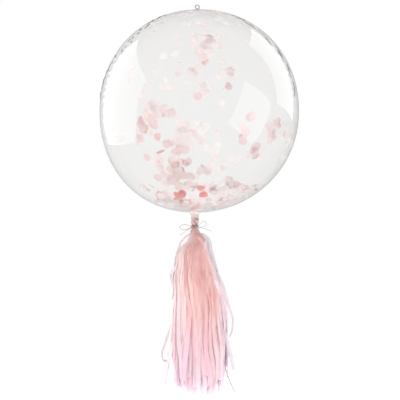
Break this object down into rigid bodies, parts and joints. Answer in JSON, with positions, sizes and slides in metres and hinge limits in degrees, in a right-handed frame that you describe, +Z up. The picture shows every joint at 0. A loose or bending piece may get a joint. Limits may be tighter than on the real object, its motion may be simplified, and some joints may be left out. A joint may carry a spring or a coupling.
{
  "type": "confetti balloon",
  "caption": "Clear round balloon with paper confetti sealed inside, a small hanging ring on its crown, and a fringed tissue tassel tied to its neck with a thin cord bow.",
  "frame": {"origin": "where the hanging ring bears on what holds it: the middle of the top of the ring's hole", "axes": "+Z up, from the tassel to the ring; the ring's hole runs along Y, and the cord bow faces -Y"},
  "size_m": [0.6, 0.6, 1.1729],
  "materials": {
    "clear_film": "thin clear glossy film",
    "ring_plastic": "smooth moulded grey plastic",
    "grey_cord": "thin twisted cord, silver grey",
    "peach_tissue": "creased tissue paper, peach pink",
    "lilac_tissue": "creased tissue paper, lilac pink",
    "pale_tissue": "creased tissue paper, very pale pink",
    "blush_tissue": "creased tissue paper, blush pink"
  },
  "bodies": {
    "root": {"balloon": "clear_film", "hanging_ring": "ring_plastic", "peach_tissue": "peach_tissue", "lilac_tissue": "lilac_tissue", "pale_tissue": "pale_tissue", "blush_tissue": "blush_tissue", "cord_wraps": "grey_cord", "bow_knot": "grey_cord", "left_loop": "grey_cord", "left_tail": "grey_cord", "right_loop": "grey_cord", "right_tail": "grey_cord"}
  },
  "joints": []
}
